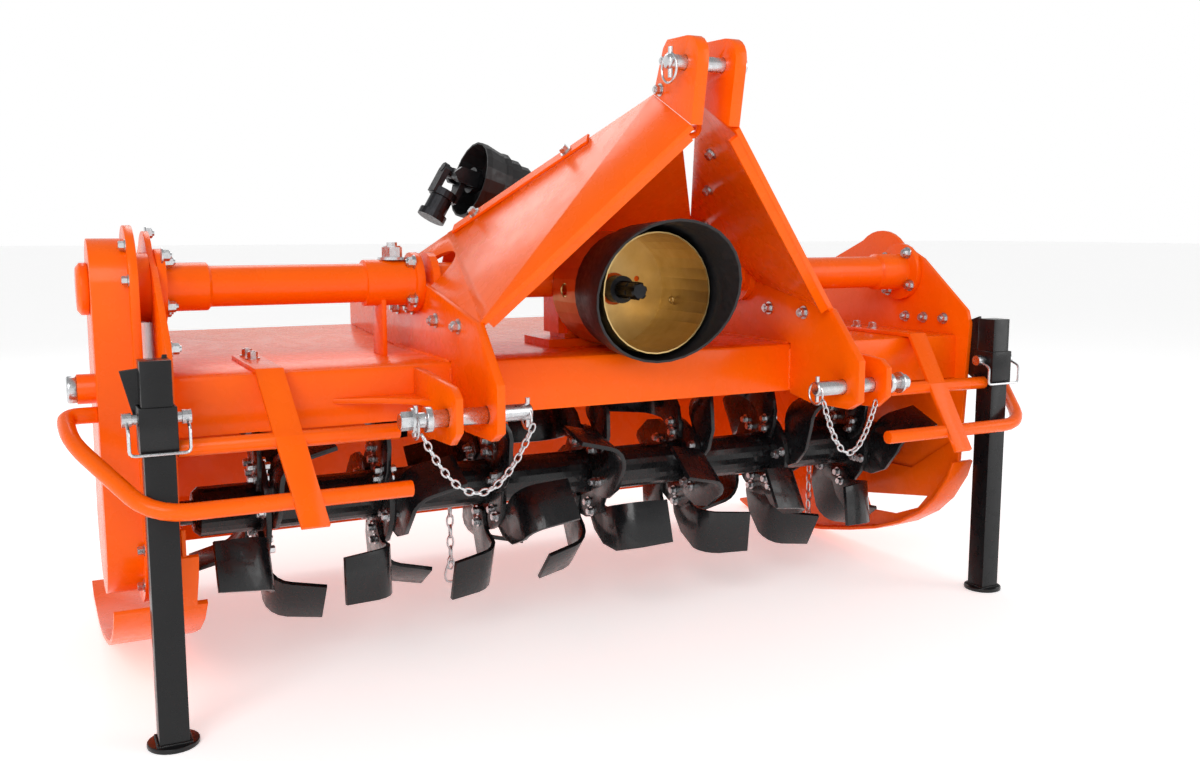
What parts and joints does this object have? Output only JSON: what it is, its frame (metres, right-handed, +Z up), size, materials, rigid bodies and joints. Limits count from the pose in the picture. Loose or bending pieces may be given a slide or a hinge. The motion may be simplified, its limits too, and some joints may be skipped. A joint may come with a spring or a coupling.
{
  "type": "rotary tiller",
  "caption": "Three-point hitch rotary tiller with a side gear drive, bladed rotor under a folded deck, A-shaped mast, hinged tail board, side skids and two parking stands.",
  "frame": {"origin": "middle of the machine's footprint, on the floor", "axes": "+Z up, +X across the machine to its right-hand side as seen from the tractor side, -Y towards the tractor"},
  "size_m": [1.9994, 1.138, 1.126],
  "materials": {
    "orange_paint": "gloss powder coat",
    "black_paint": "semi-gloss powder coat",
    "blade_paint": "satin paint on forged steel",
    "zinc_steel": "bright zinc plate",
    "yellow_zinc": "yellow zinc passivation",
    "black_rubber": "moulded, satin",
    "black_steel": "painted, satin"
  },
  "bodies": {
    "frame": {"deck": "orange_paint", "left_side_plate": "orange_paint", "right_side_plate": "orange_paint", "left_skid": "orange_paint", "right_skid": "orange_paint", "gear_case": "orange_paint", "bearing_cap": "orange_paint", "rotor_bearing_housing": "orange_paint", "left_axle_tube": "orange_paint", "right_axle_tube": "orange_paint", "gearbox": "orange_paint", "left_hitch_plate": "orange_paint", "right_hitch_plate": "orange_paint", "left_hitch_ear": "orange_paint", "right_hitch_ear": "orange_paint", "left_mast_arm": "orange_paint", "right_mast_arm": "orange_paint", "left_mast_ear": "orange_paint", "right_mast_ear": "orange_paint", "mast_back_plate": "orange_paint", "left_guard": "orange_paint", "right_guard": "orange_paint", "left_stand_sleeve": "black_paint", "right_stand_sleeve": "black_paint", "level_plug": "zinc_steel", "left_lower_pin": "zinc_steel", "right_lower_pin": "zinc_steel", "top_link_pin": "zinc_steel", "left_stand_pin": "zinc_steel", "right_stand_pin": "zinc_steel", "tail_board_hinge_rod": "zinc_steel", "pto_shield": "yellow_zinc", "pto_rubber_guard": "black_rubber", "driveline_left_shield": "black_rubber", "driveline_right_shield": "black_rubber", "driveline_left_yoke": "black_steel", "driveline_right_yoke": "black_steel"},
    "rotor": {"rotor_shaft": "blade_paint", "blade_set_1": "blade_paint", "blade_set_2": "blade_paint", "blade_set_3": "blade_paint", "blade_set_4": "blade_paint", "blade_set_5": "blade_paint", "blade_set_6": "blade_paint", "blade_set_7": "blade_paint"},
    "input": {"input_shaft": "black_steel"},
    "tail_board_panel": {"tail_board": "orange_paint"},
    "left_stand": {"left_stand_leg": "black_paint"},
    "right_stand": {"right_stand_leg": "black_paint"}
  },
  "joints": [
    {"name": "rotor_spin", "type": "hinge", "parent": "frame", "child": "rotor", "pos_m": [0.00046, -0.081, 0.303], "axis": [1, 0, 0], "continuous": true},
    {"name": "input_shaft_spin", "type": "hinge", "parent": "frame", "child": "input", "pos_m": [0.01196, -0.181, 0.69], "axis": [0, 1, 0], "continuous": true},
    {"name": "tail_board_hinge", "type": "hinge", "parent": "frame", "child": "tail_board_panel", "pos_m": [0.00046, 0.531, 0.5], "axis": [1, 0, 0], "range_deg": [0, 60]},
    {"name": "left_stand_slide", "type": "slide", "parent": "frame", "child": "left_stand", "axis": [0, 0, 1], "range_m": [0, 0.37]},
    {"name": "right_stand_slide", "type": "slide", "parent": "frame", "child": "right_stand", "axis": [0, 0, 1], "range_m": [0, 0.37]}
  ],
  "couplings": [
    {"joint": "input_shaft_spin", "follows": "rotor_spin", "ratio": 2.55}
  ]
}
